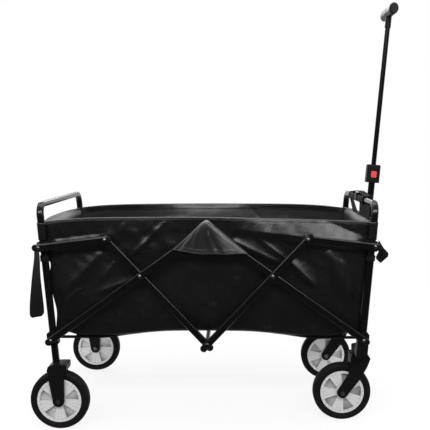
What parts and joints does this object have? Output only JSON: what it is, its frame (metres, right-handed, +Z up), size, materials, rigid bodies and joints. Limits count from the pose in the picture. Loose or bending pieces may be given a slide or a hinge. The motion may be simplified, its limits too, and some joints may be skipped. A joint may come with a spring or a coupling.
{
  "type": "folding utility wagon",
  "caption": "Folding cloth wagon with scissor side bars, leaning end loops, fixed rear wheels, swivelling front casters and a telescopic pull handle with a cross grip.",
  "frame": {"origin": "on the ground, below the middle of the whole outline", "axes": "+X to the front, where the pull handle is; +Y to the wagon's left; +Z up"},
  "size_m": [1.017, 0.5404, 1.1618],
  "materials": {
    "frame_paint": "semi-gloss black powder coat",
    "black_plastic": "fine-grained black moulding",
    "rivet_steel": "bright zinc-plated steel",
    "tyre_rubber": "matt black, grooved tread",
    "rim_silver": "satin silver-grey moulding",
    "bag_cloth": "coated black polyester weave",
    "mat_cloth": "coated black polyester weave over stiff board",
    "webbing": "ribbed black webbing",
    "grip_foam": "soft matt black foam",
    "button_red": "satin red moulding"
  },
  "bodies": {
    "rear_frame": {"rear_loop": "frame_paint", "rear_cross_tube": "frame_paint", "rear_brackets": "black_plastic", "rear_frame_pins": "rivet_steel", "rear_forks": "black_plastic", "rear_axle_bolts": "rivet_steel", "rear_panel": "bag_cloth", "side_panel_right": "bag_cloth", "side_panel_left": "bag_cloth", "side_flaps": "bag_cloth", "bag_floor": "bag_cloth", "floor_mat": "mat_cloth", "closure_strap": "webbing", "corner_ties": "webbing"},
    "rear_wheel_right": {"rear_tyre_right": "tyre_rubber", "rear_rim_right": "rim_silver"},
    "rear_wheel_left": {"rear_tyre_left": "tyre_rubber", "rear_rim_left": "rim_silver"},
    "rear_long_bars": {"rear_long_bars": "frame_paint", "rear_long_bar_caps": "black_plastic", "rear_cross_rivets": "rivet_steel"},
    "rear_short_bars": {"rear_short_bars": "frame_paint", "rear_short_bar_caps": "black_plastic", "bottom_rod": "frame_paint"},
    "front_short_bars": {"front_short_bars": "frame_paint", "front_short_bar_caps": "black_plastic", "front_link_rivets": "rivet_steel"},
    "front_long_bars": {"front_long_bars": "frame_paint", "front_long_bar_caps": "black_plastic", "front_cross_rivets": "rivet_steel"},
    "rear_links": {"rear_links": "frame_paint", "rear_link_caps": "black_plastic", "rear_link_rivets": "rivet_steel"},
    "front_links": {"front_links": "frame_paint", "front_link_caps": "black_plastic"},
    "front_frame": {"front_loop": "frame_paint", "front_cross_tube": "frame_paint", "front_brackets": "black_plastic", "front_frame_pins": "rivet_steel", "caster_mounts": "black_plastic", "handle_bracket": "black_plastic", "handle_clip": "black_plastic", "front_panel": "bag_cloth", "buckle_strap": "webbing", "strap_buckle": "black_plastic"},
    "caster_right": {"caster_fork_right": "black_plastic", "caster_bolt_right": "rivet_steel"},
    "caster_left": {"caster_fork_left": "black_plastic", "caster_bolt_left": "rivet_steel"},
    "front_wheel_right": {"front_tyre_right": "tyre_rubber", "front_rim_right": "rim_silver"},
    "front_wheel_left": {"front_tyre_left": "tyre_rubber", "front_rim_left": "rim_silver"},
    "handle": {"handle_foot": "black_plastic", "handle_outer_tube": "frame_paint", "lock_block": "black_plastic"},
    "handle_inner": {"handle_inner_tube": "frame_paint", "inner_tube_bush": "black_plastic", "handle_grip": "grip_foam"},
    "lock_button": {"lock_button": "button_red"}
  },
  "joints": [
    {"name": "fold", "type": "hinge", "parent": "rear_frame", "child": "rear_long_bars", "pos_m": [-0.44637, 0, 0.246], "axis": [0, -1, 0], "range_deg": [0, 44.18], "deforming": ["side_panel_right", "side_panel_left", "bag_floor", "floor_mat", "side_flaps", "corner_ties"]},
    {"name": "rear_cross_hinge", "type": "hinge", "parent": "rear_long_bars", "child": "rear_short_bars", "pos_m": [-0.20386, 0, 0.42099], "axis": [0, -1, 0], "range_deg": [-78.59, 0]},
    {"name": "bottom_hinge", "type": "hinge", "parent": "rear_short_bars", "child": "front_short_bars", "pos_m": [-0.02787, 0, 0.23357], "axis": [0, -1, 0], "range_deg": [0, 68.62]},
    {"name": "front_cross_hinge", "type": "hinge", "parent": "front_short_bars", "child": "front_long_bars", "pos_m": [0.14813, 0, 0.42099], "axis": [0, -1, 0], "range_deg": [-78.59, 0]},
    {"name": "front_foot_hinge", "type": "hinge", "parent": "front_long_bars", "child": "front_frame", "pos_m": [0.39064, 0, 0.246], "axis": [0, -1, 0], "range_deg": [0, 44.38]},
    {"name": "rear_link_hinge", "type": "hinge", "parent": "rear_frame", "child": "rear_links", "pos_m": [-0.4727, 0, 0.498], "axis": [0, -1, 0], "range_deg": [0, 68.39]},
    {"name": "front_link_hinge", "type": "hinge", "parent": "front_frame", "child": "front_links", "pos_m": [0.41697, 0, 0.498], "axis": [0, -1, 0], "range_deg": [-68.39, 0]},
    {"name": "rear_wheel_spin_right", "type": "hinge", "parent": "rear_frame", "child": "rear_wheel_right", "pos_m": [-0.42836, -0.243, 0.08], "axis": [0, 1, 0], "continuous": true},
    {"name": "rear_wheel_spin_left", "type": "hinge", "parent": "rear_frame", "child": "rear_wheel_left", "pos_m": [-0.42836, 0.243, 0.08], "axis": [0, 1, 0], "continuous": true},
    {"name": "caster_swivel_right", "type": "hinge", "parent": "front_frame", "child": "caster_right", "pos_m": [0.38914, -0.168, 0.19], "axis": [0, 0, 1], "continuous": true},
    {"name": "front_wheel_spin_right", "type": "hinge", "parent": "caster_right", "child": "front_wheel_right", "pos_m": [0.34514, -0.168, 0.08], "axis": [0, 1, 0], "continuous": true},
    {"name": "caster_swivel_left", "type": "hinge", "parent": "front_frame", "child": "caster_left", "pos_m": [0.38914, 0.168, 0.19], "axis": [0, 0, 1], "continuous": true},
    {"name": "front_wheel_spin_left", "type": "hinge", "parent": "caster_left", "child": "front_wheel_left", "pos_m": [0.34514, 0.168, 0.08], "axis": [0, 1, 0], "continuous": true},
    {"name": "handle_hinge", "type": "hinge", "parent": "front_frame", "child": "handle", "pos_m": [0.41913, 0, 0.238], "axis": [0, 1, 0], "range_deg": [0, 95]},
    {"name": "handle_slide", "type": "slide", "parent": "handle", "child": "handle_inner", "axis": [-0.0837, 0, -0.9965], "range_m": [0, 0.33]},
    {"name": "lock_button_press", "type": "slide", "parent": "handle", "child": "lock_button", "axis": [0, 1, 0], "range_m": [0, 0.0035], "stiffness_N_per_m": 800}
  ],
  "couplings": [
    {"joint": "rear_cross_hinge", "follows": "fold", "ratio": -1.7743},
    {"joint": "bottom_hinge", "follows": "fold", "ratio": 1.5486},
    {"joint": "front_cross_hinge", "follows": "fold", "ratio": -1.7743},
    {"joint": "front_foot_hinge", "follows": "fold", "ratio": 1},
    {"joint": "rear_link_hinge", "follows": "fold", "ratio": 1.5435},
    {"joint": "front_link_hinge", "follows": "fold", "ratio": -1.5435}
  ]
}
